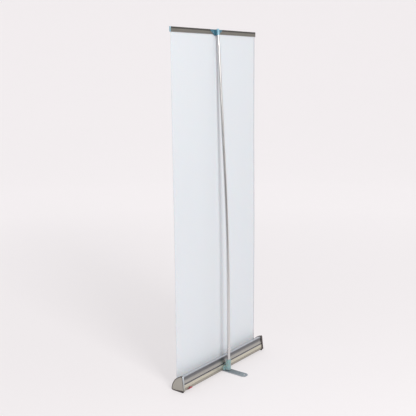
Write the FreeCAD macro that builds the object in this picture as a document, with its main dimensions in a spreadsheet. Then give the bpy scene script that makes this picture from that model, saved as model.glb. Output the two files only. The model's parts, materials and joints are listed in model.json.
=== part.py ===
import FreeCAD, Part
import math
import os

import Sketcher

# A roll-up banner stand. X runs along the cassette, the printed face looks along -Y, the pole and
# the foot are behind it (+Y) and Z is up from the floor. Every sub-part is drawn with Y measured
# from the plane of the graphic, and its Placement brings it into the stand's frame, whose origin
# is on the floor under the middle of the stand.

DIMENSIONS = {
    # Graphic
    "graphic_width": 850.0,
    "graphic_gauge": 0.3,
    "graphic_tail": 14.0,        # height of the sheet's lowest edge, inside the cassette
    "graphic_y": -102.7,         # plane of the graphic in the stand's frame
    # Cassette profile, in its resting stance: heel on the floor, rear edge raised by the foot
    "housing_length": 856.0,
    "arc_y": 77.8,               # centre of the big front arc
    "arc_z": 3.4,
    "arc_radius": 102.0,
    "shell_wall": 2.0,
    "rear_wall": 5.0,
    "floor_wall": 2.0,
    "rear_y": 68.0,              # rear face, at its bottom and its top
    "rear_top_y": 56.5,
    "base_lift": 10.0,
    "heel_y": -12.0,
    "heel_z": 4.0,
    "front_y": -22.0,
    "corner_round": 8.0,
    "slot_half": 3.2,
    "slot_z": 69.0,
    "port_radius": 5.0,
    # Rear cove and grooves of the profile
    "cove_low": 58.0,
    "cove_high": 93.0,
    "cove_radius": 70.0,
    "wide_groove_z": 48.0,
    "wide_groove_width": 6.5,
    "wide_groove_depth": 3.0,
    "fine_groove_z": 25.5,
    "fine_groove_width": 2.2,
    "fine_groove_depth": 1.2,
    # End caps
    "cap_thick": 14.0,
    "cap_proud": 3.0,
    "cap_rim": 7.0,
    "cap_recess": 3.0,
    "cap_heel": 2.2,
    "heel_back_y": 6.0,
    "screw_radius": 1.9,
    # Roller
    "roller_y": 19.6,
    "roller_z": 42.0,
    "roller_radius": 16.0,
    "roller_wall": 1.4,
    "roller_length": 848.0,
    "leader_gauge": 2.4,
    "axle_radius": 4.0,
    "spring_wire": 1.0,
    "spring_radius": 9.0,
    "spring_pitch": 6.5,
    "spring_turns": 30.0,
    # Foot
    "foot_half": 27.0,
    "foot_thick": 5.0,
    "foot_clear": 1.5,
    "foot_pivot_y": 40.0,
    "foot_tip_y": 232.0,
    "foot_round": 20.0,
    "foot_pad_y": 214.0,
    "foot_hole_y": 178.0,
    # Pole: straight, then bowed forward, then straight to the rail
    "pole_y": 88.5,
    "pole_base": 16.3,
    "bow_start": 400.0,
    "bow_radius": 16000.0,
    "bow_angle": 3.25,
    "lower_radius": 10.0,
    "lower_wall": 1.6,
    "lower_top": 730.0,
    "upper_radius": 9.0,
    "upper_wall": 1.3,
    "middle_top": 1430.0,
    "pole_top": 2158.0,
    "fit_gap": 0.1,
    "cord_radius": 2.0,
    # Pole socket on the rear of the cassette
    "socket_half": 15.0,
    "socket_base": 12.0,
    "socket_top": 82.0,
    "lug_half": 33.0,
    "lug_top": 36.0,
    "lug_thick": 4.0,
    # Top rail
    "rail_length": 851.0,
    "rail_y": -5.0,              # the rail sits forward of the slot
    "rail_base": 2163.0,
    "rail_height": 29.0,
    "rail_depth": 5.6,           # from the graphic to the front of the flap
    "rail_back": 4.2,            # from the graphic to the rear face
    "barrel_radius": 2.5,
    "rail_cap_thick": 1.6,
    "clip_half": 60.0,
    "clip_foot_half": 15.0,
    "clip_drop": 8.0,
    "clip_thick": 1.4,
    "head_gap": 0.4,
    # Lock pin
    "pin_x": 380.0,
    "pin_z": 19.0,
    "pin_radius": 2.0,
    "tab_length": 44.0,
    "tab_height": 6.0,
}

doc = FreeCAD.newDocument("RollUpBannerStand")
sheet = doc.addObject("Spreadsheet::Sheet", "Dim")
for row, (alias, size) in enumerate(DIMENSIONS.items(), start=1):
    sheet.set(f"A{row}", alias)
    sheet.set(f"B{row}", repr(size))
    sheet.setAlias(f"B{row}", alias)
doc.recompute()

V = FreeCAD.Vector
SUB_PARTS = []


def amount(expression):
    """Value of an expression or of a bare number."""
    return float(sheet.evalExpression(str(expression)))


def register(obj, label, x="0", y="0", z="0", tilt="0"):
    """Names a sub-part and places it: x, y, z from the graphic plane, tilt about X in degrees."""
    obj.Label = label
    obj.setExpression("Placement.Base.x", str(x))
    obj.setExpression("Placement.Base.y", f"Dim.graphic_y + ({y})")
    obj.setExpression("Placement.Base.z", str(z))
    if tilt != "0":
        obj.Placement.Rotation = FreeCAD.Rotation(V(1, 0, 0), amount(tilt))
        obj.setExpression("Placement.Rotation.Angle", f"({tilt}) * 1 deg")
    SUB_PARTS.append(obj)
    return obj


def new_body(label, **where):
    body = doc.addObject("PartDesign::Body", "Body_" + label)
    return register(body, label, **where)


def new_sketch(body, plane, offset=None):
    """Sketch on one of the body's own origin planes, moved along the plane's normal by offset."""
    sketch = body.newObject("Sketcher::SketchObject", f"{body.Name}_sketch{len(body.Group)}")
    origin = next(f for f in body.Origin.OriginFeatures if f.Role == plane)
    sketch.AttachmentSupport = [(origin, "")]
    sketch.MapMode = "FlatFace"
    if offset is not None:
        sketch.setExpression("AttachmentOffset.Base.z", str(offset))
    return sketch


def outline(sketch, points, arcs=None):
    """Closed outline through the points. arcs maps an edge's number to (radius, x, y of centre)."""
    arcs = arcs or {}
    spots = [V(amount(x), amount(y), 0) for x, y in points]
    first = sketch.GeometryCount
    count = len(spots)
    ends = []
    for i, start in enumerate(spots):
        stop = spots[(i + 1) % count]
        if i in arcs:
            radius, cx, cy = (amount(e) for e in arcs[i])
            centre = V(cx, cy, 0)
            through = centre + ((start + stop) * 0.5 - centre).normalize() * radius
            anticlockwise = (start - centre).cross(stop - centre).z > 0
            a, b = (start, stop) if anticlockwise else (stop, start)
            sketch.addGeometry(Part.Arc(a, through, b))
        else:
            sketch.addGeometry(Part.LineSegment(start, stop))
        begins = (sketch.Geometry[-1].StartPoint - start).Length < 1e-6
        ends.append((1, 2) if begins else (2, 1))
    for i in range(count):
        j = (i + 1) % count
        link = Sketcher.Constraint("Coincident", first + i, ends[i][1], first + j, ends[j][0])
        sketch.addConstraint(link)
    for i, (x, y) in enumerate(points):
        for kind, expression in (("DistanceX", x), ("DistanceY", y)):
            rule = Sketcher.Constraint(kind, first + i, ends[i][0], amount(expression))
            bind(sketch, rule, expression)
    for i, (radius, _, _) in arcs.items():
        bind(sketch, Sketcher.Constraint("Radius", first + i, amount(radius)), radius)


def bind(sketch, rule, expression):
    number = sketch.addConstraint(rule)
    sketch.setExpression(f"Constraints[{number}]", str(expression))


def ring(sketch, x, y, *radii):
    """Circles of the given radii about one centre."""
    for radius in radii:
        spot = V(amount(x), amount(y), 0)
        number = sketch.addGeometry(Part.Circle(spot, V(0, 0, 1), amount(radius)))
        bind(sketch, Sketcher.Constraint("Radius", number, amount(radius)), radius)
        bind(sketch, Sketcher.Constraint("DistanceX", number, 3, amount(x)), x)
        bind(sketch, Sketcher.Constraint("DistanceY", number, 3, amount(y)), y)


def box_outline(sketch, x0, x1, y0, y1):
    outline(sketch, [(x0, y0), (x1, y0), (x1, y1), (x0, y1)])


def pad(body, sketch, length, both=False, back=False):
    feature = body.newObject("PartDesign::Pad", f"{body.Name}_pad{len(body.Group)}")
    feature.Profile = sketch
    feature.setExpression("Length", str(length))
    feature.SideType = "Symmetric" if both else "One side"
    feature.Reversed = back
    return feature


def pocket(body, sketch, length="2 * Dim.housing_length", both=False, back=False):
    """Pocket of the given length, by default right through. It has to remove material."""
    doc.recompute()
    before = body.Shape.Volume
    feature = body.newObject("PartDesign::Pocket", f"{body.Name}_pocket{len(body.Group)}")
    feature.Profile = sketch
    feature.SideType = "Symmetric" if both else "One side"
    feature.Reversed = back
    feature.setExpression("Length", str(length))
    doc.recompute()
    if body.Shape.Volume >= before - 1e-3:
        raise RuntimeError(f"{feature.Name} cuts nothing")
    return feature


def revolve(body, sketch, axis_role="Z_Axis"):
    feature = body.newObject("PartDesign::Revolution", f"{body.Name}_turn{len(body.Group)}")
    feature.Profile = sketch
    axis = next(f for f in body.Origin.OriginFeatures if f.Role == axis_role)
    feature.ReferenceAxis = (axis, [""])
    feature.Angle = 360.0
    return feature


def edges_where(body, test):
    doc.recompute()
    names = []
    for number, edge in enumerate(body.Shape.Edges, start=1):
        spot = edge.CenterOfMass - body.Placement.Base
        if test(edge, spot):
            names.append(f"Edge{number}")
    return names


def fillet(body, radius, test):
    names = edges_where(body, test)
    if not names:
        raise RuntimeError(f"no edge to round on {body.Label}")
    base = body.Tip
    feature = body.newObject("PartDesign::Fillet", f"{body.Name}_fillet{len(body.Group)}")
    feature.Base = (base, names)
    feature.setExpression("Radius", str(radius))
    doc.recompute()
    return feature


def along_x(edge, _spot):
    """True for a straight edge that runs along X."""
    a, b = edge.Vertexes[0].Point, edge.Vertexes[-1].Point
    return abs((b - a).x) > 0.99 * (b - a).Length > 0


def along_z(edge, _spot):
    a, b = edge.Vertexes[0].Point, edge.Vertexes[-1].Point
    return abs((b - a).z) > 0.99 * (b - a).Length > 0


def arc_height(radius, y):
    """Expression for the height of the front arc of that radius at y."""
    return f"Dim.arc_z + sqrt(({radius})^2 - (Dim.arc_y - ({y}))^2)"


def arc_front(radius, z):
    """Expression for y on the front arc at height z."""
    return f"Dim.arc_y - sqrt(({radius})^2 - (({z}) - Dim.arc_z)^2)"


REAR_RISE = arc_height("Dim.arc_radius", "Dim.rear_top_y")
LEAN = f"(Dim.rear_y - Dim.rear_top_y) / ({REAR_RISE} - Dim.base_lift)"


def rear_face(z, inset="0"):
    """Expression for y on the leaning rear face at height z."""
    return f"Dim.rear_y - ({z} - Dim.base_lift) * {LEAN} - ({inset})"


def cove_centre():
    """Expressions for the centre of the shallow hollow in the rear face."""
    middle = "(Dim.cove_low + Dim.cove_high) / 2"
    slope = f"sqrt(1 + ({LEAN})^2)"
    reach = f"sqrt(Dim.cove_radius^2 - ((Dim.cove_high - Dim.cove_low) / 2 * {slope})^2)"
    return (f"{rear_face(middle)} + {reach} / {slope}", f"{middle} + {reach} * {LEAN} / {slope}")


# ---------------------------------------------------------------- cassette

def cassette_housing():
    """Aluminium profile: a leaning rear wall, a big front arc split by the graphic's slot."""
    body = new_body("cassette_housing")
    outer = "Dim.arc_radius"
    inner = "Dim.arc_radius - Dim.shell_wall"
    ceiling = "Dim.base_lift + Dim.floor_wall"
    inner_top_y = "Dim.rear_top_y - Dim.rear_wall"
    centre = ("Dim.arc_y", "Dim.arc_z")
    points = [
        ("Dim.slot_half", arc_height(outer, "Dim.slot_half")),
        ("Dim.rear_top_y", REAR_RISE),
        (rear_face("Dim.cove_high"), "Dim.cove_high"),
        (rear_face("Dim.cove_low"), "Dim.cove_low"),
        (rear_face("Dim.base_lift + 8"), "Dim.base_lift + 8"),
        ("Dim.rear_y - 5", "Dim.base_lift"),
        ("Dim.heel_y + 6", "Dim.base_lift"),
        ("Dim.heel_y", "Dim.heel_z"),
        ("Dim.front_y", "Dim.heel_z"),
        (arc_front(outer, "14"), "14"),
        ("-Dim.slot_half", arc_height(outer, "-Dim.slot_half")),
        ("-Dim.slot_half", arc_height(inner, "-Dim.slot_half")),
        (arc_front(inner, ceiling), ceiling),
        ("Dim.rear_y - Dim.rear_wall - 3", ceiling),
        (inner_top_y, arc_height(inner, inner_top_y)),
        ("Dim.slot_half", arc_height(inner, "Dim.slot_half")),
    ]
    section = new_sketch(body, "YZ_Plane")
    arcs = {0: (outer, *centre), 2: ("Dim.cove_radius", *cove_centre()), 9: (outer, *centre),
            11: (inner, *centre), 14: (inner, *centre)}
    outline(section, points, arcs)
    pad(body, section, "Dim.housing_length", both=True)
    ports = new_sketch(body, "YZ_Plane")
    for y, z in SCREW_PORTS:
        ring(ports, y, z, "Dim.port_radius")
    pad(body, ports, "Dim.housing_length", both=True)
    grooves = new_sketch(body, "YZ_Plane")
    for groove in ("Dim.wide_groove", "Dim.fine_groove"):
        z0, z1, deep = f"{groove}_z", f"{groove}_z + {groove}_width", f"{groove}_depth"
        corners = [(rear_face(z0, deep), z0), (rear_face(z0, "-4"), z0),
                   (rear_face(z1, "-4"), z1), (rear_face(z1, deep), z1)]
        outline(grooves, corners)
    pocket(body, grooves, both=True)
    holes = new_sketch(body, "YZ_Plane")
    for y, z in SCREW_PORTS:
        ring(holes, y, z, "Dim.screw_radius + Dim.fit_gap")
    pocket(body, holes, both=True)
    bolt = new_sketch(body, "XY_Plane")
    ring(bolt, "0", "Dim.foot_pivot_y", "3.1")
    pocket(body, bolt, "Dim.base_lift + Dim.floor_wall + 2", back=True)
    rear_holes = new_sketch(body, "XZ_Plane")
    ring(rear_holes, "Dim.pin_x", "Dim.pin_z", "Dim.pin_radius + 0.3")
    for x, z in SOCKET_SCREWS:
        ring(rear_holes, x, z, "2.1")
    pocket(body, rear_holes, "Dim.rear_y + 5")
    fillet(body, "Dim.corner_round", lambda e, p: along_x(e, p) and p.z > 100)
    return body


SCREW_PORTS = [("48", "94.2"), ("-16.6", "19"), ("57", "18.4")]


def cap_outline(sketch, inset):
    """Outline of an end cap, set in by inset from its edge."""
    radius = f"Dim.arc_radius + Dim.cap_proud - ({inset})"
    side = f"Dim.cap_proud - ({inset})"
    low = f"Dim.cap_heel + ({inset})"
    rear_low = f"Dim.base_lift + ({inset})"
    top_y = f"Dim.rear_top_y + ({side})"
    points = [
        (top_y, arc_height(radius, top_y)),
        (f"Dim.rear_y + ({side})", rear_low),
        ("Dim.heel_back_y", low),
        (f"Dim.front_y + 2 + ({inset})", low),
        (arc_front(radius, "8 + " + inset), f"8 + ({inset})"),
    ]
    outline(sketch, points, {4: (radius, "Dim.arc_y", "Dim.arc_z")})


def end_cap(side, sign):
    """Moulded cap over the end of the profile, with a recess for its cover plate."""
    body = new_body(f"end_cap_{side}", x=f"{sign} * Dim.housing_length / 2")
    outwards = sign > 0
    face = new_sketch(body, "YZ_Plane")
    cap_outline(face, "0")
    pad(body, face, "Dim.cap_thick", back=not outwards)
    recess = new_sketch(body, "YZ_Plane", f"{sign} * Dim.cap_thick")
    cap_outline(recess, "Dim.cap_rim - 3")
    pocket(body, recess, "Dim.cap_recess", back=not outwards)
    screws = new_sketch(body, "YZ_Plane")
    for y, z in SCREW_PORTS:
        ring(screws, y, z, "Dim.screw_radius + Dim.fit_gap")
    pocket(body, screws, both=True)
    heads = new_sketch(body, "YZ_Plane", f"{sign} * (Dim.cap_thick - Dim.cap_recess)")
    for y, z in SCREW_PORTS:
        ring(heads, y, z, "Dim.screw_radius * 2")
    pocket(body, heads, "3", back=not outwards)
    axle = new_sketch(body, "YZ_Plane")
    ring(axle, "Dim.roller_y", "Dim.roller_z", "Dim.axle_radius")
    pocket(body, axle, "8", back=outwards)
    fillet(body, "6", lambda e, p: along_x(e, p) and p.z > 100)
    return body


def end_cap_cover(side, sign):
    """Thin aluminium plate that sits in the cap's recess and hides the screws."""
    start = f"{sign} * (Dim.housing_length / 2 + Dim.cap_thick - Dim.cap_recess + 0.05)"
    body = new_body(f"end_cap_cover_{side}", x=start)
    face = new_sketch(body, "YZ_Plane")
    cap_outline(face, "Dim.cap_rim - 2.2")
    pad(body, face, "Dim.cap_recess - 1", back=sign < 0)
    fillet(body, "4", lambda e, p: along_x(e, p) and p.z > 95)
    return body


def end_cap_screws():
    """Six countersunk screws, three through each cap into the profile's ports."""
    solids = []
    shank = amount("Dim.screw_radius")
    for sign in (1, -1):
        outer = sign * (amount("Dim.housing_length / 2 + Dim.cap_thick - Dim.cap_recess") - 0.4)
        for y, z in SCREW_PORTS:
            start = V(outer, amount(y), amount(z))
            inwards = V(-sign, 0, 0)
            head = Part.makeCylinder(shank * 1.9, 2.4, start, inwards)
            stem = Part.makeCylinder(shank, 26.0, start, inwards)
            slot = Part.makeBox(1.2, shank * 3, 0.8, start - V(0.6, shank * 1.5, 0.4))
            solids.append(head.fuse(stem).cut(slot))
    feature = doc.addObject("Part::Feature", "Screws_caps")
    feature.Shape = Part.makeCompound(solids)
    return register(feature, "end_cap_screws")


def heel_feet():
    """Two rubber wedges that fill the gap between the end caps and the floor."""
    solids = []
    width = amount("Dim.cap_thick") - 3
    front, rear = amount("Dim.front_y + 5"), amount("Dim.rear_y - 6")
    step, heel = amount("Dim.heel_back_y"), amount("Dim.cap_heel")
    climb = amount("(Dim.base_lift - Dim.cap_heel) / (Dim.rear_y + Dim.cap_proud - Dim.heel_back_y)")
    corners = [(front, 0), (rear, 0), (rear, heel + climb * (rear - step)), (step, heel), (front, heel)]
    for sign in (1, -1):
        start = sign * amount("(Dim.housing_length + Dim.cap_thick) / 2") - width / 2
        spots = [V(start, y, z) for y, z in corners]
        face = Part.Face(Part.makePolygon(spots + spots[:1]))
        strip = face.extrude(V(width, 0, 0))
        solids.append(strip.makeFillet(1.5, [e for e in strip.Edges if along_z(e, None)]))
    feature = doc.addObject("Part::Feature", "Feet_front")
    feature.Shape = Part.makeCompound(solids)
    return register(feature, "heel_feet")


def slot_wiper(label, sign):
    """Felt strip glued along one lip of the slot, so that the graphic never rubs on metal."""
    body = new_body(label)
    section = new_sketch(body, "YZ_Plane")
    lip = f"{sign} * Dim.slot_half"
    near = f"{sign} * (Dim.slot_half - 1.2)"
    inner = "Dim.arc_radius - Dim.shell_wall"
    low, high = arc_height(inner, lip), arc_height("Dim.arc_radius", lip)
    corners = [(lip, low), (near, low), (near, high), (lip, high)]
    outline(section, corners)
    pad(body, section, "Dim.graphic_width + 4", both=True)
    return body


# ---------------------------------------------------------------- roller

def tube_along_x(label, length, outer, inner, x="0"):
    body = new_body(label, x=x)
    section = new_sketch(body, "YZ_Plane")
    ring(section, "Dim.roller_y", "Dim.roller_z", outer, inner)
    pad(body, section, length, both=True)
    return body


def roller_plug(side, sign):
    """Moulded plug that closes the tube and turns on its axle; its flange guides the sheet."""
    body = new_body(f"roller_plug_{side}", x=f"{sign} * Dim.roller_length / 2")
    flange = new_sketch(body, "YZ_Plane")
    ring(flange, "Dim.roller_y", "Dim.roller_z", "Dim.roller_radius + 2", "Dim.axle_radius + 0.1")
    pad(body, flange, "2", back=sign < 0)
    barrel = new_sketch(body, "YZ_Plane")
    bore = "Dim.axle_radius + 0.1"
    fit = "Dim.roller_radius - Dim.roller_wall - 0.05"
    ring(barrel, "Dim.roller_y", "Dim.roller_z", fit, bore)
    pad(body, barrel, "24", back=sign > 0)
    return body


def axle(label, sign, length):
    """Fixed steel axle, pressed into an end cap."""
    reach = f"{sign} * (Dim.housing_length / 2 + 7.8)"
    rod = doc.addObject("Part::Cylinder", "Axle_" + label)
    rod.setExpression("Radius", "Dim.axle_radius")
    rod.setExpression("Height", length)
    rod.Placement.Rotation = FreeCAD.Rotation(V(0, 1, 0), -90.0 * sign)
    return register(rod, label, x=reach, y="Dim.roller_y", z="Dim.roller_z")


def torsion_spring():
    """Long counterbalance spring wound round the spring axle inside the roller."""
    pitch, turns = amount("Dim.spring_pitch"), amount("Dim.spring_turns")
    radius, wire = amount("Dim.spring_radius"), amount("Dim.spring_wire")
    helix = Part.makeHelix(pitch, pitch * turns, radius)
    circle = Part.Circle(V(radius, 0, 0), V(0, 1, pitch / (2 * math.pi * radius)), wire)
    coil = Part.Wire(helix).makePipeShell([Part.Wire(circle.toShape())], True, True)
    coil.rotate(V(0, 0, 0), V(0, 1, 0), -90)
    feature = doc.addObject("Part::Feature", "Spring_torsion")
    feature.Shape = coil
    start = "Dim.roller_length / 2 - 32"
    return register(feature, "torsion_spring", x=start, y="Dim.roller_y", z="Dim.roller_z")


def spring_anchor():
    """Disc fixed inside the tube that takes the far end of the spring."""
    inner = "Dim.roller_length / 2 - 32 - Dim.spring_pitch * Dim.spring_turns - 14"
    fit = "Dim.roller_radius - Dim.roller_wall - 0.05"
    return tube_along_x("spring_anchor", "12", fit, "Dim.axle_radius + 0.3", x=inner)


# ---------------------------------------------------------------- foot

def foot_bar():
    """Flat steel foot, turning about a bolt under the cassette."""
    body = new_body("foot_bar", y="Dim.foot_pivot_y", z="Dim.foot_clear")
    plan = new_sketch(body, "XY_Plane")
    reach = "Dim.foot_tip_y - Dim.foot_pivot_y"
    points = [("-Dim.foot_half", "0"), ("Dim.foot_half", "0"),
              ("Dim.foot_half", reach), ("-Dim.foot_half", reach)]
    outline(plan, points)
    pad(body, plan, "Dim.foot_thick")
    end = new_sketch(body, "XY_Plane")
    ring(end, "0", "0", "Dim.foot_half")
    pad(body, end, "Dim.foot_thick")
    fillet(body, "Dim.foot_round", lambda e, p: along_z(e, p) and p.y > amount(reach) - 1)
    holes = new_sketch(body, "XY_Plane")
    ring(holes, "0", "0", "3.1")
    ring(holes, "0", "Dim.foot_hole_y - Dim.foot_pivot_y", "4")
    ring(holes, "0", "Dim.foot_pad_y - Dim.foot_pivot_y", "3.1")
    pocket(body, holes, "Dim.foot_thick", back=True)
    sink = new_sketch(body, "XY_Plane")
    ring(sink, "0", "0", "7")
    pocket(body, sink, "2.4", back=True)
    top = amount("Dim.foot_thick + Dim.foot_clear")
    fillet(body, "1.2", lambda e, p: abs(p.z + amount("Dim.foot_clear") - top) < 1e-3
           and e.Length > 60)
    return body


def turned(label, profile, **where):
    """Round piece about the vertical through its own origin; profile is (radius, height) pairs."""
    body = new_body(label, **where)
    half = new_sketch(body, "XZ_Plane")
    outline(half, profile)
    revolve(body, half)
    return body


def foot_pieces():
    lift, thick = "Dim.foot_clear", "Dim.foot_thick"
    top = f"{lift} + {thick}"
    floor = "Dim.base_lift"
    turned("foot_pivot_bolt",
           [("0", f"{lift} + 0.2"), ("6.7", f"{lift} + 0.2"), ("6.7", f"{lift} + 2.2"),
            ("3", f"{lift} + 2.2"), ("3", f"{floor} + 9"), ("0", f"{floor} + 9")],
           y="Dim.foot_pivot_y")
    turned("foot_pivot_washer",
           [("3.2", f"{top} + 0.1"), ("12", f"{top} + 0.1"), ("12", floor), ("3.2", floor)],
           y="Dim.foot_pivot_y")
    nut = new_body("foot_pivot_nut", y="Dim.foot_pivot_y", z="Dim.base_lift + Dim.floor_wall")
    hexagon = new_sketch(nut, "XY_Plane")
    corners = [(f"5.8 * cos({60 * k} deg)", f"5.8 * sin({60 * k} deg)") for k in range(6)]
    outline(hexagon, corners)
    pad(nut, hexagon, "5")
    bore = new_sketch(nut, "XY_Plane")
    ring(bore, "0", "0", "3.05")
    pocket(nut, bore, "5", back=True)
    turned("foot_pad",
           [("3.1", "0"), ("13", "0"), ("14", "1"), ("14", lift), ("3.1", lift)],
           y="Dim.foot_pad_y")
    turned("foot_pad_rivet",
           [("0", "0.6"), ("3", "0.6"), ("3", top), ("6", top), ("5", f"{top} + 1.4"),
            ("0", f"{top} + 1.8")],
           y="Dim.foot_pad_y")


# ---------------------------------------------------------------- pole and its socket

def pole_socket():
    """Moulded block on the cassette's rear that takes the foot of the pole."""
    body = new_body("pole_socket", y="Dim.pole_y", z="Dim.socket_base")
    height = "Dim.socket_top - Dim.socket_base"
    plan = new_sketch(body, "XY_Plane")
    half, front = "Dim.socket_half", "45 - Dim.pole_y"
    points = [(f"-{half}", front), (half, front), (half, "0"), (f"-{half}", "0")]
    outline(plan, points, {2: (half, "0", "-0.001")})
    pad(body, plan, height)
    lugs = new_sketch(body, "YZ_Plane")
    z0, z1, thick = "Dim.socket_base", "Dim.lug_top", "-Dim.lug_thick"
    corners = [(f"{rear_face(z0, '2')} - Dim.pole_y", "0"),
               (f"{rear_face(z0, thick)} - Dim.pole_y", "0"),
               (f"{rear_face(z1, thick)} - Dim.pole_y", f"{z1} - Dim.socket_base"),
               (f"{rear_face(z1, '2')} - Dim.pole_y", f"{z1} - Dim.socket_base")]
    outline(lugs, corners)
    pad(body, lugs, "Dim.lug_half * 2", both=True)
    cut = new_sketch(body, "YZ_Plane")
    low, high = "5", "100"
    corners = [("-60", f"{low} - Dim.socket_base"),
               (f"{rear_face(low, '-0.05')} - Dim.pole_y", f"{low} - Dim.socket_base"),
               (f"{rear_face(high, '-0.05')} - Dim.pole_y", f"{high} - Dim.socket_base"),
               ("-60", f"{high} - Dim.socket_base")]
    outline(cut, corners)
    pocket(body, cut, both=True)
    relief = new_sketch(body, "YZ_Plane")
    box_outline(relief, "-60", "-Dim.lower_radius - 3", "Dim.lug_top + 2 - Dim.socket_base", height)
    pocket(body, relief, both=True)
    bore = new_sketch(body, "XY_Plane", "Dim.pole_base - Dim.socket_base - 0.3")
    ring(bore, "0", "0", "Dim.lower_radius + 0.25")
    pocket(body, bore, height, back=True)
    screws = new_sketch(body, "XZ_Plane")
    for x, z in SOCKET_SCREWS:
        ring(screws, x, f"{z} - Dim.socket_base", "2.1")
    pocket(body, screws, both=True)
    return body


SOCKET_SCREWS = [("26", "27"), ("-26", "27")]


def socket_screws():
    """Two pan-head screws that hold the socket to the cassette's rear wall."""
    solids = []
    for x, z in SOCKET_SCREWS:
        face = amount(rear_face(z, "-Dim.lug_thick")) + 0.6
        start = V(amount(x), face, amount(z))
        head = Part.makeCylinder(3.8, 2.0, start, V(0, 1, 0))
        stem = Part.makeCylinder(2.0, face - amount(rear_face(z, "1.5")), start, V(0, -1, 0))
        slot = Part.makeBox(6.0, 1.0, 0.9, start + V(-3.0, 1.2, -0.45))
        solids.append(head.fuse(stem).cut(slot))
    feature = doc.addObject("Part::Feature", "Screws_socket")
    feature.Shape = Part.makeCompound(solids)
    return register(feature, "socket_screws")


BOW_STOP = "Dim.bow_start + Dim.bow_radius * sin(Dim.bow_angle * 1 deg)"
BOW_SHIFT = "Dim.bow_radius * (1 - cos(Dim.bow_angle * 1 deg))"


def pole_centre(z):
    """Expression for y of the pole's centreline at height z, above the bow."""
    return f"Dim.pole_y - {BOW_SHIFT} - (({z}) - ({BOW_STOP})) * tan(Dim.bow_angle * 1 deg)"


def pole_in_bow(z):
    """Expression for y of the centreline at height z, within the bow."""
    rise = f"(({z}) - Dim.bow_start)"
    return f"Dim.pole_y - Dim.bow_radius + sqrt(Dim.bow_radius^2 - {rise}^2)"


def bow_tilt(z):
    """Expression for the lean of the centreline at height z, within the bow."""
    return f"asin((({z}) - Dim.bow_start) / Dim.bow_radius) / 1 deg"


def pipe(body, spine, outer, inner=None):
    """Sweep of a ring along the spine, which starts at the body's origin along its Z."""
    profile = new_sketch(body, "XY_Plane")
    ring(profile, "0", "0", *([outer, inner] if inner else [outer]))
    feature = body.newObject("PartDesign::AdditivePipe", f"{body.Name}_pipe")
    feature.Profile = profile
    feature.Spine = (spine, [f"Edge{n + 1}" for n in range(spine.GeometryCount)])
    doc.recompute()
    return feature


def spine_sketch(body, pieces):
    """Open path on the body's YZ plane: lines and arcs given as Part curves."""
    path = new_sketch(body, "YZ_Plane")
    for piece in pieces:
        path.addGeometry(piece)
    for number in range(len(pieces) - 1):
        meets = [(a, b) for a in (1, 2) for b in (1, 2)
                 if (path.getPoint(number, a) - path.getPoint(number + 1, b)).Length < 1e-3]
        a, b = meets[0]
        path.addConstraint(Sketcher.Constraint("Coincident", number, a, number + 1, b))
    return path


def bow_arc(from_z, to_z, base_y, base_z, turn=0.0):
    """Arc of the bow between two heights, in a frame with that base, turned by -turn degrees."""
    spin = FreeCAD.Rotation(V(0, 0, 1), -turn)
    heights = sorted((from_z, (from_z + to_z) / 2, to_z))
    spots = []
    for z in heights:
        spot = V(amount(pole_in_bow(repr(z))) - base_y, z - base_z, 0)
        spots.append(spin.multVec(spot))
    return Part.Arc(*spots)


def pole_lower():
    """Lowest tube: straight out of the socket, then the start of the bow."""
    body = new_body("pole_lower", y="Dim.pole_y", z="Dim.pole_base + 3")
    base_y, base_z = amount("Dim.pole_y"), amount("Dim.pole_base + 3")
    bend = amount("Dim.bow_start")
    straight = Part.LineSegment(V(0, 0, 0), V(0, bend - base_z, 0))
    arc = bow_arc(bend, amount("Dim.lower_top"), base_y, base_z)
    spine = spine_sketch(body, [straight, arc])
    pipe(body, spine, "Dim.lower_radius", "Dim.lower_radius - Dim.lower_wall")
    return body


def pole_middle():
    """Middle tube, which holds the rest of the bow. It is drawn from its top end downwards."""
    tilt = "Dim.bow_angle"
    body = new_body("pole_middle", y=pole_centre("Dim.middle_top"), z="Dim.middle_top", tilt=tilt)
    lean = amount(tilt)
    base_y, base_z = amount(pole_centre("Dim.middle_top")), amount("Dim.middle_top")
    stop = amount(BOW_STOP)
    down = Part.LineSegment(V(0, 0, 0), V(0, -(base_z - stop) / math.cos(math.radians(lean)), 0))
    arc = bow_arc(stop, amount("Dim.lower_top + 0.4"), base_y, base_z, lean)
    spine = spine_sketch(body, [down, arc])
    pipe(body, spine, "Dim.upper_radius", "Dim.upper_radius - Dim.upper_wall")
    return body


def pole_upper():
    """Top tube, straight, leaning forward to the rail."""
    start = "Dim.middle_top + 0.4"
    body = new_body("pole_upper", y=pole_centre(start), z=start, tilt="Dim.bow_angle")
    section = new_sketch(body, "XY_Plane")
    ring(section, "0", "0", "Dim.upper_radius", "Dim.upper_radius - Dim.upper_wall")
    pad(body, section, f"(Dim.pole_top - ({start})) / cos(Dim.bow_angle * 1 deg)")
    return body


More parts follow.
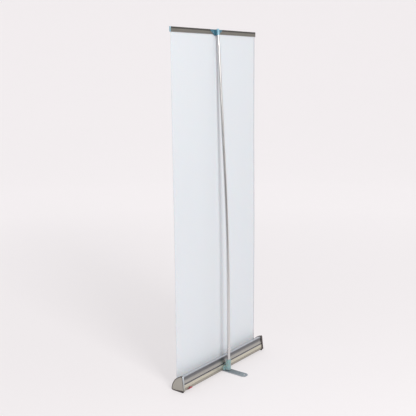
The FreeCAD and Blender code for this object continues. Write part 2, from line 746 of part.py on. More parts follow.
def pole_fittings():
    """Plug, joint ferrules and head of the pole."""
    low_fit = "Dim.lower_radius - Dim.lower_wall - Dim.fit_gap"
    high_fit = "Dim.upper_radius - Dim.upper_wall - Dim.fit_gap"
    hole = "Dim.cord_radius + 0.5"
    turned("pole_plug",
           [(hole, "0"), ("Dim.lower_radius - 1", "0"), ("Dim.lower_radius", "1"),
            ("Dim.lower_radius", "3"), (low_fit, "3"), (low_fit, "28"), (hole, "28")],
           y="Dim.pole_y", z="Dim.pole_base")
    turned("ferrule_lower",
           [(hole, "-38"), (low_fit, "-38"), (low_fit, "0.2"), (high_fit, "0.2"),
            (high_fit, "38"), (hole, "38")],
           y=pole_in_bow("Dim.lower_top"), z="Dim.lower_top", tilt=bow_tilt("Dim.lower_top"))
    turned("ferrule_upper",
           [(hole, "-38"), (high_fit, "-38"), (high_fit, "38"), (hole, "38")],
           y=pole_centre("Dim.middle_top"), z="Dim.middle_top", tilt="Dim.bow_angle")
    turned("pole_head",
           [("0", "-30"), (high_fit, "-30"), (high_fit, "0.1"), ("Dim.upper_radius + 0.3", "0.1"),
            ("Dim.upper_radius + 0.3", "35"), ("Dim.upper_radius - 2.5", "38"), ("0", "38")],
           y=pole_centre("Dim.pole_top"), z="Dim.pole_top", tilt="Dim.bow_angle")


def pole_cord():
    """Elastic cord that keeps the three tubes together, taut from the plug to the head."""
    start = "Dim.pole_base + 6"
    body = new_body("pole_cord", y="Dim.pole_y", z=start)
    base_y, base_z = amount("Dim.pole_y"), amount(start)
    bend, stop, end = amount("Dim.bow_start"), amount(BOW_STOP), amount("Dim.pole_top - 31")
    straight = Part.LineSegment(V(0, 0, 0), V(0, bend - base_z, 0))
    arc = bow_arc(bend, stop, base_y, base_z)
    corner = V(amount(pole_in_bow(repr(stop))) - base_y, stop - base_z, 0)
    tip = V(amount(pole_centre(repr(end))) - base_y, end - base_z, 0)
    spine = spine_sketch(body, [straight, arc, Part.LineSegment(corner, tip)])
    pipe(body, spine, "Dim.cord_radius")
    return body


# ---------------------------------------------------------------- top rail and graphic

def rail_rear():
    """Rear half of the snap rail: a ribbed plate with a seat for the flap's barrel."""
    body = new_body("rail_rear", y="Dim.rail_y", z="Dim.rail_base")
    section = new_sketch(body, "YZ_Plane")
    face, back, top = "0.5", "Dim.rail_back", "Dim.rail_height"
    step = "Dim.rail_height * 0.6"
    points = [(face, "0"), (f"{back} - 0.8", "0"), (back, "0.8"), (back, step),
              (f"{back} - 1", f"{step} + 1"), (f"{back} - 1", f"{top} - 3"),
              (f"{back} - 2.2", top), (face, top)]
    outline(section, points)
    pad(body, section, "Dim.rail_length", both=True)
    holes = new_sketch(body, "XZ_Plane")
    for sign in (1, -1):
        ring(holes, f"{sign} * 28", "13", "1.6")
    pocket(body, holes, both=True)
    return body


def rail_flap():
    """Front half of the rail. It turns up about its barrel to let the graphic in."""
    body = new_body("rail_flap", y="Dim.rail_y", z="Dim.rail_base")
    axis_y, axis_z = FLAP_AXIS
    section = new_sketch(body, "YZ_Plane")
    radius = "Dim.barrel_radius"
    front = "-Dim.rail_depth"
    points = [(f"{axis_y}", f"{axis_z} - {radius}"), (f"{axis_y} + 0.6", f"{axis_z} - {radius}"),
              (f"{front} + 1.9", "4.5"), ("-0.5", "3"), ("-0.5", "0"), (f"{front} + 1.2", "0"),
              (front, "1.2"), (front, f"{axis_z}"), (axis_y, axis_z)]
    outline(section, points)
    pad(body, section, "Dim.rail_length", both=True)
    barrel = new_sketch(body, "YZ_Plane")
    ring(barrel, axis_y, axis_z, radius)
    pad(body, barrel, "Dim.rail_length", both=True)
    bore = new_sketch(body, "YZ_Plane")
    ring(bore, axis_y, axis_z, "1.1")
    pocket(body, bore, both=True)
    return body


FLAP_AXIS = ("-Dim.rail_depth + Dim.barrel_radius", "Dim.rail_height - Dim.barrel_radius - 0.2")


def rail_cap(side, sign):
    """Moulded cap that closes the end of the rail; its peg is the flap's hinge pin."""
    body = new_body(f"rail_cap_{side}", x=f"{sign} * (Dim.rail_length / 2 + 0.1)",
                    y="Dim.rail_y", z="Dim.rail_base")
    face = new_sketch(body, "YZ_Plane")
    box_outline(face, "-Dim.rail_depth - 0.6", "Dim.rail_back + 0.6", "-0.6", "Dim.rail_height + 0.6")
    pad(body, face, "Dim.rail_cap_thick", back=sign < 0)
    peg = new_sketch(body, "YZ_Plane")
    ring(peg, *FLAP_AXIS, "1.0")
    pad(body, peg, "8", back=sign > 0)
    fillet(body, "1.5", lambda e, p: along_x(e, p) and is_outer_corner(p))
    return body


def is_outer_corner(spot):
    """True at the four corners of a rail cap."""
    depth = amount("Dim.rail_back + Dim.rail_depth + 1.2")
    middle = amount("(Dim.rail_back - Dim.rail_depth) / 2")
    return abs(abs(spot.y - middle) - depth / 2) < 0.01


def rail_clip():
    """Moulded clip on the back of the rail with two cheeks that straddle the pole's head."""
    body = new_body("rail_clip", y="Dim.rail_y + Dim.rail_back", z="Dim.rail_base")
    plate = new_sketch(body, "XZ_Plane")
    wide, narrow, drop = "Dim.clip_half", "Dim.clip_foot_half", "-Dim.clip_drop"
    top = "Dim.rail_height - 1"
    points = [(f"-{narrow}", drop), (narrow, drop), (wide, f"{top} - 5"), (wide, top),
              (f"-{wide}", top), (f"-{wide}", f"{top} - 5")]
    outline(plate, points)
    pad(body, plate, "Dim.clip_thick", back=True)
    cheeks = new_sketch(body, "XZ_Plane")
    gap = "Dim.upper_radius + 0.3 + Dim.head_gap"
    for sign in (1, -1):
        near, far = f"{sign} * ({gap})", f"{sign} * ({gap} + 3.5)"
        outline(cheeks, [(near, drop), (far, drop), (far, top), (near, top)])
    pad(body, cheeks, "11", back=True)
    fillet(body, "1.2", lambda e, p: along_z(e, p) and p.y > 10.9)
    holes = new_sketch(body, "XZ_Plane")
    for sign in (1, -1):
        ring(holes, f"{sign} * 28", "13", "1.6")
    pocket(body, holes, both=True)
    return body


def rail_clip_screws():
    solids = []
    for sign in (1, -1):
        plate_y = amount("Dim.rail_y + Dim.rail_back + Dim.clip_thick")
        start = V(sign * 28.0, plate_y, amount("Dim.rail_base + 13"))
        head = Part.makeCylinder(3.0, 1.6, start, V(0, 1, 0))
        stem = Part.makeCylinder(1.5, 4.2, start, V(0, -1, 0))
        slot = Part.makeBox(4.6, 0.8, 0.8, start + V(-2.3, 0.9, -0.4))
        solids.append(head.fuse(stem).cut(slot))
    feature = doc.addObject("Part::Feature", "Screws_clip")
    feature.Shape = Part.makeCompound(solids)
    return register(feature, "rail_clip_screws")


def graphic_panel():
    """Stretched film from the rail down through the slot into the cassette."""
    lean = "atan(-Dim.rail_y / (Dim.rail_base - Dim.slot_z)) / 1 deg"
    slot_shift = "-Dim.rail_y * (Dim.slot_z - Dim.graphic_tail) / (Dim.rail_base - Dim.slot_z)"
    panel = doc.addObject("Part::Box", "Graphic_panel")
    panel.setExpression("Length", "Dim.graphic_width")
    panel.setExpression("Width", "Dim.graphic_gauge")
    panel.setExpression("Height", "Dim.rail_base + 20 - Dim.graphic_tail")
    return register(panel, "graphic_panel", x="-Dim.graphic_width / 2",
                    y=f"{slot_shift} - Dim.graphic_gauge / 2", z="Dim.graphic_tail", tilt=lean)


# ---------------------------------------------------------------- lock pin

def lock_pin():
    """Steel pin that holds the roller while a graphic is changed, shown parked in its hole."""
    rod = doc.addObject("Part::Cylinder", "Pin_lock")
    rod.setExpression("Radius", "Dim.pin_radius")
    rod.setExpression("Height", "22")
    rod.Placement.Rotation = FreeCAD.Rotation(V(1, 0, 0), 90)
    return register(rod, "lock_pin", x="Dim.pin_x", y=f"{rear_face('Dim.pin_z')} + 0.8",
                    z="Dim.pin_z")


def lock_pin_tab():
    """Flat pull tab on the outer end of the lock pin."""
    body = new_body("lock_pin_tab", x="Dim.pin_x", y=f"{rear_face('Dim.pin_z')} + 0.8")
    face = new_sketch(body, "XZ_Plane")
    half = "Dim.tab_length / 2"
    low, high = "Dim.base_lift + 1.5", "Dim.base_lift + 1.5 + Dim.tab_height"
    box_outline(face, f"-{half}", half, low, high)
    pad(body, face, "2.6", back=True)
    lug = new_sketch(body, "XZ_Plane")
    box_outline(lug, "-5", "5", high, "Dim.pin_z + 3")
    pad(body, lug, "2.6", back=True)
    return body


def build():
    cassette_housing()
    for side, sign in (("left", -1), ("right", 1)):
        end_cap(side, sign)
        end_cap_cover(side, sign)
        roller_plug(side, sign)
        rail_cap(side, sign)
    end_cap_screws()
    heel_feet()
    slot_wiper("slot_wiper_front", -1)
    slot_wiper("slot_wiper_rear", 1)
    tube_along_x("roller_tube", "Dim.roller_length - 0.2", "Dim.roller_radius",
                 "Dim.roller_radius - Dim.roller_wall")
    tube_along_x("wound_graphic", "Dim.graphic_width - 6", "Dim.roller_radius + Dim.leader_gauge",
                 "Dim.roller_radius")
    axle("idler_axle", -1, "30")
    axle("spring_axle", 1, "250")
    torsion_spring()
    spring_anchor()
    foot_bar()
    foot_pieces()
    pole_socket()
    socket_screws()
    pole_lower()
    pole_middle()
    pole_upper()
    pole_fittings()
    pole_cord()
    rail_rear()
    rail_flap()
    rail_clip()
    rail_clip_screws()
    graphic_panel()
    lock_pin()
    lock_pin_tab()


def check_and_write():
    doc.recompute()
    bad = [o.Name for o in doc.Objects if "Invalid" in o.State or "Error" in o.State]
    bad += [o.Label for o in SUB_PARTS if o.Shape.isNull() or not o.Shape.isValid()]
    bad += [o.Label for o in SUB_PARTS if not o.Shape.Solids]
    if bad:
        raise RuntimeError(f"these did not build: {bad}")
    os.makedirs("parts", exist_ok=True)
    for obj in SUB_PARTS:
        obj.Shape.exportStep(os.path.join("parts", obj.Label + ".step"))
    print(len(SUB_PARTS), "sub-parts written")


build()
check_and_write()
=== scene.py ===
import json
import math

import bmesh
import bpy
from mathutils import Matrix, Vector


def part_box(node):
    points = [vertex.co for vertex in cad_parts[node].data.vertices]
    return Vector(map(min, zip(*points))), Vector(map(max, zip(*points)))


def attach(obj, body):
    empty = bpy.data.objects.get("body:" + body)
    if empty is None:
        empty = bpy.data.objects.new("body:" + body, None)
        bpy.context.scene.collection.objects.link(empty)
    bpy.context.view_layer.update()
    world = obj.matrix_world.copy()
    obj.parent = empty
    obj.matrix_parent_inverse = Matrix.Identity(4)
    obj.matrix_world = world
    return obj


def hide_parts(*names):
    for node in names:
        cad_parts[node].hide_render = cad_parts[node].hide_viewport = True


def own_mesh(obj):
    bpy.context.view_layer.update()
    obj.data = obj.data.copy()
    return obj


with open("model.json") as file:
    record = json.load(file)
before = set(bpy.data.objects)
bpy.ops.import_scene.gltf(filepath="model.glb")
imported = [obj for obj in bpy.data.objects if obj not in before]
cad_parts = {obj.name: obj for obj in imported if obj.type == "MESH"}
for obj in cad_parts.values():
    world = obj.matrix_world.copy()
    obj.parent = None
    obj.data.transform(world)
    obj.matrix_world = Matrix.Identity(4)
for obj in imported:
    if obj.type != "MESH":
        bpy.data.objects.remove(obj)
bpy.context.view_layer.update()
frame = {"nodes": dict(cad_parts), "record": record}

# Roll-up banner stand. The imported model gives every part. This script gives each one its finish,
# and replaces the two film solids by a thin stretched sheet and a wound roll.

NODES = frame["nodes"]
PANEL_LOW, PANEL_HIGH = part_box("graphic_panel")
TUBE_LOW, TUBE_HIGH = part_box("roller_tube")
TAB_LOW, TAB_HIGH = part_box("lock_pin_tab")
RAIL_LOW, RAIL_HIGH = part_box("rail_rear")
WOUND_LOW, WOUND_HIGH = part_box("wound_graphic")
# middle of the cassette's slot, and of the clamp in the rail
SLOT_Y = (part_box("slot_wiper_front")[1].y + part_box("slot_wiper_rear")[0].y) / 2
CLAMP_Y = RAIL_LOW.y - 0.0005


# ---------------------------------------------------------------- camera, light and stage

CAMERA_SPOT = Vector((3.59967, 2.61082, 1.92217))
CAMERA_HEADING = math.radians(217.75)
CAMERA_DIP = math.radians(10.54)
CAMERA_ROLL = math.radians(-0.419)
CAMERA_LENS = 62.09      # on a 36 mm sensor


def add_camera():
    camera = bpy.data.objects.new("camera", bpy.data.cameras.new("camera"))
    bpy.context.scene.collection.objects.link(camera)
    level = math.cos(CAMERA_DIP)
    ahead = Vector((math.cos(CAMERA_HEADING) * level, math.sin(CAMERA_HEADING) * level,
                    -math.sin(CAMERA_DIP)))
    right = ahead.cross(Vector((0, 0, 1))).normalized()
    up = right.cross(ahead)
    turned_right = math.cos(CAMERA_ROLL) * right + math.sin(CAMERA_ROLL) * up
    turned_up = math.cos(CAMERA_ROLL) * up - math.sin(CAMERA_ROLL) * right
    turn = Matrix((turned_right, turned_up, -ahead)).transposed()
    camera.matrix_world = Matrix.Translation(CAMERA_SPOT) @ turn.to_4x4()
    camera.data.sensor_width = 36.0
    camera.data.lens = CAMERA_LENS
    camera.data.clip_end = 60.0
    bpy.context.scene.camera = camera


def add_light(name, heading, height, distance, size, power, colour, spot=0.9):
    """Square area light seen from the stand under that heading from +Y towards +X, in degrees."""
    light = bpy.data.lights.new(name, "AREA")
    light.shape = "SQUARE"
    light.size = size
    light.energy = power
    light.color = colour
    obj = bpy.data.objects.new(name, light)
    bpy.context.scene.collection.objects.link(obj)
    turn, rise = math.radians(heading), math.radians(height)
    away = Vector((math.sin(turn) * math.cos(rise), math.cos(turn) * math.cos(rise),
                   math.sin(rise)))
    target = Vector((0, 0, spot))
    obj.location = target + away * distance
    obj.rotation_euler = (-away).to_track_quat("-Z", "Y").to_euler()
    obj.visible_camera = False


def add_world(strength):
    world = bpy.data.worlds.new("studio")
    bpy.context.scene.world = world
    world.use_nodes = True
    background = world.node_tree.nodes["Background"]
    background.inputs["Color"].default_value = (1.0, 0.985, 0.99, 1.0)
    background.inputs["Strength"].default_value = strength


PAPER = (0.40, 0.385, 0.39)
ROOM = (0.12, 0.12, 0.125)
OPEN_SIDE = (0.79, 0.61, 0.0)    # the paper gives way to a dim room on this side of the stand
ROOM_START, ROOM_END = 1.9, 3.2
GLOW_NEAR = 0.459                # the paper is lit from below too, a little less near the stand
GLOW_FAR = 0.544
ROOM_GLOW = 0.1                  # share of that glow left in the room


def add_stage():
    """Round floor that curves up into a wall: pale paper, with a dim room on its open side."""
    floor_radius, bend, top = 8.0, 3.0, 5.0
    bend_steps, steps = 12, 96
    profile = [(2.0, 0.0), (5.0, 0.0), (floor_radius, 0.0)]
    for k in range(1, bend_steps + 1):
        angle = math.radians(90 * k / bend_steps)
        profile.append((floor_radius + bend * math.sin(angle), bend * (1 - math.cos(angle))))
    profile.append((floor_radius + bend, top))
    mesh = bpy.data.meshes.new("stage")
    shape = bmesh.new()
    centre = shape.verts.new((0, 0, 0))
    rings = []
    for radius, height in profile:
        rings.append([shape.verts.new((radius * math.cos(math.tau * k / steps),
                                       radius * math.sin(math.tau * k / steps), height))
                      for k in range(steps)])
    for k in range(steps):
        after = (k + 1) % steps
        shape.faces.new((centre, rings[0][k], rings[0][after]))
        for inner, outer in zip(rings, rings[1:]):
            shape.faces.new((inner[k], outer[k], outer[after], inner[after]))
    for face in shape.faces:
        face.smooth = True
    shape.to_mesh(mesh)
    shape.free()
    stage = bpy.data.objects.new("stage", mesh)
    bpy.context.scene.collection.objects.link(stage)
    paper = Finish("studio_paper", roughness=0.9)
    open_side = paper.span(paper.toward(OPEN_SIDE), ROOM_START, ROOM_END)
    paper.tint(paper.noise(1.2, detail=2.0), shaded(PAPER, 0.985), PAPER)
    paper.tint(open_side, None, ROOM)
    paper.shader.inputs["Emission Color"].default_value = (1.0, 0.97, 0.98, 1.0)
    glow = paper.span(paper.distance(), 1.0, 6.0, GLOW_NEAR, GLOW_FAR)
    lit = paper.maths("MULTIPLY", glow, paper.span(open_side, 0.0, 1.0, 1.0, ROOM_GLOW))
    paper.link(lit, paper.shader.inputs["Emission Strength"])
    stage.data.materials.append(paper.material)


# ---------------------------------------------------------------- finishes

class Finish:
    """A procedural material built in layers: noises drive its colour, roughness and relief."""

    def __init__(self, name, metallic=0.0, roughness=0.5, coat=0.0, sheen=0.0, subsurface=0.0):
        self.material = bpy.data.materials.new(name)
        self.material.use_nodes = True
        self.tree = self.material.node_tree
        self.shader = self.tree.nodes["Principled BSDF"]
        values = {"Metallic": metallic, "Roughness": roughness, "IOR": 1.5,
                  "Coat Weight": coat, "Coat Roughness": 0.12, "Sheen Weight": sheen,
                  "Subsurface Weight": subsurface, "Subsurface Scale": 0.002}
        for socket, value in values.items():
            self.shader.inputs[socket].default_value = value
        self.normal = None
        self.colour = None
        self.places = {}
        self.split = None

    def node(self, kind, **settings):
        made = self.tree.nodes.new(kind)
        for name, value in settings.items():
            setattr(made, name, value)
        return made

    def link(self, source, target):
        self.tree.links.new(source, target)

    def place(self, stretch=(1.0, 1.0, 1.0)):
        """Object coordinates in metres, scaled by stretch."""
        if stretch not in self.places:
            coordinates = self.node("ShaderNodeTexCoord")
            mapping = self.node("ShaderNodeMapping")
            mapping.inputs["Scale"].default_value = stretch
            self.link(coordinates.outputs["Object"], mapping.inputs["Vector"])
            self.places[stretch] = mapping.outputs["Vector"]
        return self.places[stretch]

    def noise(self, scale, detail=4.0, rough=0.55, stretch=(1.0, 1.0, 1.0), distortion=0.0):
        texture = self.node("ShaderNodeTexNoise")
        texture.inputs["Scale"].default_value = scale
        texture.inputs["Detail"].default_value = detail
        texture.inputs["Roughness"].default_value = rough
        texture.inputs["Distortion"].default_value = distortion
        self.link(self.place(stretch), texture.inputs["Vector"])
        return texture.outputs["Fac"]

    def along(self, axis):
        """X, Y or Z of the point, in metres."""
        if self.split is None:
            self.split = self.node("ShaderNodeSeparateXYZ")
            self.link(self.place(), self.split.inputs["Vector"])
        return self.split.outputs[axis]

    def toward(self, direction):
        """How far the point lies along a direction."""
        dot = self.node("ShaderNodeVectorMath", operation="DOT_PRODUCT")
        dot.inputs[1].default_value = direction
        self.link(self.place(), dot.inputs[0])
        return dot.outputs["Value"]

    def distance(self):
        """Distance of the point from the origin."""
        length = self.node("ShaderNodeVectorMath", operation="LENGTH")
        self.link(self.place(), length.inputs[0])
        return length.outputs["Value"]

    def facing(self, axis, low, high):
        """0 to 1 as the surface's normal component along the axis goes from low to high."""
        geometry = self.node("ShaderNodeNewGeometry")
        split = self.node("ShaderNodeSeparateXYZ")
        self.link(geometry.outputs["Normal"], split.inputs["Vector"])
        return self.span(split.outputs[axis], low, high)

    def bands(self, axis, low, high, stops):
        """Colours at given places along an axis, blended between them."""
        ramp = self.node("ShaderNodeValToRGB")
        self.link(self.span(self.along(axis), low, high), ramp.inputs["Fac"])
        elements = ramp.color_ramp.elements
        while len(elements) > 1:
            elements.remove(elements[-1])
        for number, (place, colour) in enumerate(stops):
            spot = (place - low) / (high - low)
            element = elements.new(spot) if number else elements[0]
            element.position = spot
            element.color = (*colour, 1.0)
        return ramp.outputs["Color"]

    def cells(self, scale, stretch=(1.0, 1.0, 1.0), feature="F1"):
        texture = self.node("ShaderNodeTexVoronoi", feature=feature)
        texture.inputs["Scale"].default_value = scale
        self.link(self.place(stretch), texture.inputs["Vector"])
        return texture.outputs["Distance"]

    def waves(self, scale, direction="X", stretch=(1.0, 1.0, 1.0), distortion=0.0):
        texture = self.node("ShaderNodeTexWave", bands_direction=direction)
        texture.inputs["Scale"].default_value = scale
        texture.inputs["Distortion"].default_value = distortion
        self.link(self.place(stretch), texture.inputs["Vector"])
        return texture.outputs["Fac"]

    def span(self, source, low, high, start=0.0, stop=1.0):
        """source from low to high, remapped to start to stop and clamped."""
        remap = self.node("ShaderNodeMapRange")
        self.link(source, remap.inputs["Value"])
        limits = {"From Min": low, "From Max": high, "To Min": start, "To Max": stop}
        for socket, value in limits.items():
            remap.inputs[socket].default_value = value
        return remap.outputs["Result"]

    def maths(self, operation, first, second):
        made = self.node("ShaderNodeMath", operation=operation)
        for socket, value in zip(made.inputs, (first, second)):
            if isinstance(value, (int, float)):
                socket.default_value = value
            else:
                self.link(value, socket)
        return made.outputs["Value"]

    def edges(self, radius):
        """1 where the surface bends sharply, 0 on flats."""
        bevel = self.node("ShaderNodeBevel", samples=6)
        bevel.inputs["Radius"].default_value = radius
        geometry = self.node("ShaderNodeNewGeometry")
        dot = self.node("ShaderNodeVectorMath", operation="DOT_PRODUCT")
        self.link(bevel.outputs["Normal"], dot.inputs[0])
        self.link(geometry.outputs["Normal"], dot.inputs[1])
        return self.span(dot.outputs["Value"], 0.99, 0.80)

    def soften(self, radius):
        """Rounds the shading of sharp edges."""
        bevel = self.node("ShaderNodeBevel", samples=6)
        bevel.inputs["Radius"].default_value = radius
        self.normal = bevel.outputs["Normal"]
        self.link(self.normal, self.shader.inputs["Normal"])

    def tint(self, mask, first, second):
        """Colour runs from first to second with the mask; first may be the colour so far."""
        mix = self.node("ShaderNodeMix", data_type="RGBA")
        self.link(mask, mix.inputs["Factor"])
        sockets = [s for s in mix.inputs if s.type == "RGBA"]
        for socket, value in zip(sockets, (first, second)):
            if value is None:
                self.link(self.colour, socket)
            elif isinstance(value, bpy.types.NodeSocket):
                self.link(value, socket)
            else:
                socket.default_value = (*value, 1.0)
        self.colour = next(s for s in mix.outputs if s.type == "RGBA")
        self.link(self.colour, self.shader.inputs["Base Color"])

    def gloss(self, mask, low, high):
        """Roughness runs from low to high with the mask."""
        self.link(self.span(mask, 0.25, 0.75, low, high), self.shader.inputs["Roughness"])

    def relief(self, height, depth):
        """Bump of that depth in metres, on top of what is there."""
        bump = self.node("ShaderNodeBump")
        bump.inputs["Distance"].default_value = depth
        bump.inputs["Strength"].default_value = 1.0
        self.link(height, bump.inputs["Height"])
        if self.normal is not None:
            self.link(self.normal, bump.inputs["Normal"])
        self.normal = bump.outputs["Normal"]
        self.link(self.normal, self.shader.inputs["Normal"])


def shaded(colour, factor):
    return tuple(channel * factor for channel in colour)


ALONG_X = (0.02, 1.0, 1.0)       # stretches a texture along the extrusion
ALONG_Z = (1.0, 1.0, 0.015)


def extruded_metal(name, colour, roughness, grain, metallic=0.9, tone_and_painted_light=None):
    """Anodised profile: fine lines along X, a bead-blasted tooth and a little handling wear."""
    finish = Finish(name, metallic=metallic, roughness=roughness)
    finish.soften(0.0006)
    lines = finish.noise(900.0, detail=3.0, stretch=ALONG_X)
    clouds = finish.noise(7.0, detail=5.0, distortion=0.6)
    tooth = finish.noise(6500.0, detail=1.0)
    finish.tint(finish.span(clouds, 0.4, 0.8), colour, shaded(colour, 0.93))
    # a tone function paints light and shade into the colour here
    if tone_and_painted_light is not None:
        tone_and_painted_light(finish)
    finish.tint(finish.span(lines, 0.6, 0.3, 0.0, grain * 2), None, shaded(colour, 0.4))
    finish.tint(finish.maths("MULTIPLY", finish.edges(0.0007), 0.25), None, (0.86, 0.86, 0.85))
    finish.gloss(clouds, roughness * 0.85, roughness * 1.15)
    finish.relief(lines, 0.00003)
    finish.relief(tooth, 0.00001)
    return finish.material


def profile_painted_light(finish):
    """Cassette, painted light: the crown is painted pale as a reflection; on the rear, bands by
    height paint a pale top strip and a pale lower band as reflections, and a dark cove under the lip,
    dark groove lines and a dark bottom edge as shade.
    """
    # painted reflections and shade on the rear faces, by height
    bands = finish.bands("Z", 0.0, 0.11, [
        (0.010, (0.17, 0.14, 0.115)), (0.013, (0.20, 0.175, 0.15)), (0.016, (0.36, 0.335, 0.28)),
        (0.023, (0.46, 0.43, 0.36)), (0.0255, (0.27, 0.25, 0.22)), (0.028, (0.60, 0.575, 0.47)),
        (0.046, (0.66, 0.63, 0.53)), (0.049, (0.09, 0.09, 0.11)), (0.054, (0.12, 0.12, 0.15)),
        (0.057, (0.46, 0.455, 0.42)), (0.070, (0.42, 0.41, 0.385)), (0.078, (0.22, 0.22, 0.225)),
        (0.090, (0.15, 0.15, 0.16)), (0.094, (0.17, 0.175, 0.19)), (0.098, (0.42, 0.44, 0.47)),
        (0.102, (0.66, 0.69, 0.73))])
    finish.tint(finish.facing("Y", 0.25, 0.5), None, bands)
    # painted reflection on the upward faces of the crown
    finish.tint(finish.facing("Z", 0.75, 0.9), None, (0.60, 0.625, 0.66))


def rail_painted_light(finish):
    """The rail's recessed upper band is painted darker than its lower one as shade, with pale lines
    painted as highlights along its bottom edge and middle.
    """
    low, high = RAIL_LOW.z, RAIL_HIGH.z
    # painted shade and highlights on the rail's rear faces, by height
    bands = finish.bands("Z", low, high, [
        (low, (0.36, 0.335, 0.31)), (low + 0.003, (0.215, 0.205, 0.185)),
        (low + 0.013, (0.235, 0.225, 0.195)), (low + 0.0165, (0.25, 0.24, 0.215)),
        (low + 0.019, (0.13, 0.122, 0.108)), (high - 0.003, (0.07, 0.066, 0.06))])
    finish.tint(finish.facing("Y", 0.2, 0.5), None, bands)


def cap_painted_highlight(finish):
    """Caps of the cassette: dark brown shell, with a painted highlight where the +X one faces the
    rear, darker low down and pale and bluish toward the top.
    """
    lit_end = finish.span(finish.along("X"), 0.0, 0.1)
    # painted highlight on the rear faces of the +X cap only
    rear = finish.maths("MULTIPLY", finish.facing("Y", 0.3, 0.6), lit_end)
    painted_highlight_bands = finish.bands("Z", 0.0, 0.11, [
        (0.008, (0.20, 0.19, 0.165)), (0.030, (0.36, 0.36, 0.325)), (0.055, (0.33, 0.345, 0.35)),
        (0.080, (0.37, 0.40, 0.42)), (0.100, (0.50, 0.545, 0.58))])
    finish.tint(rear, None, painted_highlight_bands)


def drawn_tube(name, colour, roughness):
    """Polished drawn tube: long fine lines, faint rub marks and finger haze."""
    finish = Finish(name, metallic=1.0, roughness=roughness)
    finish.soften(0.0004)
    lines = finish.noise(2200.0, detail=2.0, stretch=ALONG_Z)
    haze = finish.noise(9.0, detail=6.0, distortion=0.6)
    rings = finish.noise(160.0, detail=4.0, stretch=(0.3, 0.3, 3.0))
    finish.tint(finish.span(lines, 0.3, 0.7), shaded(colour, 0.95), colour)
    finish.tint(finish.span(rings, 0.66, 0.74, 0.0, 0.25), None, shaded(colour, 0.8))
    finish.gloss(haze, roughness * 0.85, roughness * 1.2)
    finish.relief(lines, 0.000003)
    return finish.material


def moulded_plastic(name, colour, roughness, tooth, translucent=0.0, edge=(0.75, 0.78, 0.80),
                    tone_and_painted_light=None):
    """Injection-moulded plastic: spark-eroded tooth, faint flow marks, rubbed edges, dust."""
    finish = Finish(name, roughness=roughness, subsurface=translucent, coat=0.08)
    finish.soften(0.0006)
    grain = finish.noise(2600.0, detail=2.0)
    flow = finish.noise(18.0, detail=3.0, distortion=2.0)
    dust = finish.noise(420.0, detail=6.0, rough=0.7)
    finish.tint(finish.span(flow, 0.35, 0.7), shaded(colour, 0.93), shaded(colour, 1.05))
    # a tone function adds colour here: a painted highlight on the caps, a deeper red on the tab
    if tone_and_painted_light is not None:
        tone_and_painted_light(finish)
    finish.tint(finish.span(dust, 0.62, 0.75, 0.0, 0.25), None, shaded(edge, 0.9))
    finish.tint(finish.maths("MULTIPLY", finish.edges(0.0006), 0.35), None, edge)
    finish.gloss(grain, roughness * 0.85, roughness * 1.2)
    finish.relief(grain, tooth)
    return finish.material


def tab_tone(finish):
    """The tab is a deeper red toward the end cap."""
    middle = (TAB_LOW.x + TAB_HIGH.x) / 2
    finish.tint(finish.span(finish.along("X"), middle - 0.005, middle + 0.01), None, DEEP_RED)


def foot_painted_light(finish):
    """Painted light on the foot: it is painted paler toward its tip as reflected light, and its +X
    edge is painted pale as lit by the key.
    """
    # painted light: paler toward the tip
    near = finish.span(finish.along("Y"), 0.02, 0.12)
    finish.tint(near, None, shaded(STEEL_BLUE, 1.25))
    # painted light on the faces turned to +X, toward the key
    finish.tint(finish.facing("X", 0.4, 0.8), None, (0.40, 0.42, 0.44))


def powder_coat(name, colour, tone_and_painted_light):
    """Powder-coated steel: orange peel, edges rubbed bright and a few scratches."""
    finish = Finish(name, roughness=0.42, coat=0.15)
    finish.soften(0.0008)
    peel = finish.noise(900.0, detail=2.0)
    clouds = finish.noise(14.0, detail=5.0)
    scratch = finish.noise(260.0, detail=5.0, stretch=(1.0, 0.06, 1.0), distortion=0.4)
    finish.tint(finish.span(clouds, 0.3, 0.7), shaded(colour, 0.9), shaded(colour, 1.06))
    # the tone paints light into the foot's colour
    tone_and_painted_light(finish)
    finish.tint(finish.span(scratch, 0.69, 0.72, 0.0, 0.5), None, (0.62, 0.64, 0.66))
    worn = finish.maths("MULTIPLY", finish.edges(0.0009), finish.span(clouds, 0.3, 0.6))
    finish.tint(finish.maths("MULTIPLY", worn, 0.5), None, (0.62, 0.65, 0.67))
    finish.gloss(clouds, 0.34, 0.52)
    finish.relief(peel, 0.00004)
    return finish.material


def plated_steel(name, colour, roughness):
    """Zinc-plated fasteners: satin metal with spangle and grime in the slots."""
    finish = Finish(name, metallic=1.0, roughness=roughness)
    finish.soften(0.0002)
    spangle = finish.cells(900.0)
    grime = finish.noise(500.0, detail=5.0)
    finish.tint(finish.span(spangle, 0.2, 0.7), shaded(colour, 0.85), shaded(colour, 1.1))
    finish.tint(finish.span(grime, 0.58, 0.75, 0.0, 0.6), None, (0.10, 0.09, 0.08))
    finish.gloss(spangle, roughness * 0.8, roughness * 1.4)
    finish.relief(grime, 0.00002)
    return finish.material


def rubber(name):
    finish = Finish(name, roughness=0.8)
    finish.soften(0.0005)
    grain = finish.noise(1600.0, detail=3.0)
    scuffs = finish.noise(60.0, detail=6.0)
    finish.tint(finish.span(scuffs, 0.4, 0.75), (0.022, 0.022, 0.024), (0.075, 0.073, 0.07))
    finish.gloss(grain, 0.68, 0.9)
    finish.relief(grain, 0.00006)
    return finish.material


def pile(name):
    """Short black wool pile of the slot's wipers."""
    finish = Finish(name, roughness=0.95, sheen=0.6)
    fibres = finish.noise(2400.0, detail=6.0, rough=0.75)
    tufts = finish.cells(1400.0)
    finish.tint(fibres, (0.012, 0.012, 0.013), (0.10, 0.10, 0.105))
    finish.relief(fibres, 0.0003)
    finish.relief(tufts, 0.0002)
    return finish.material


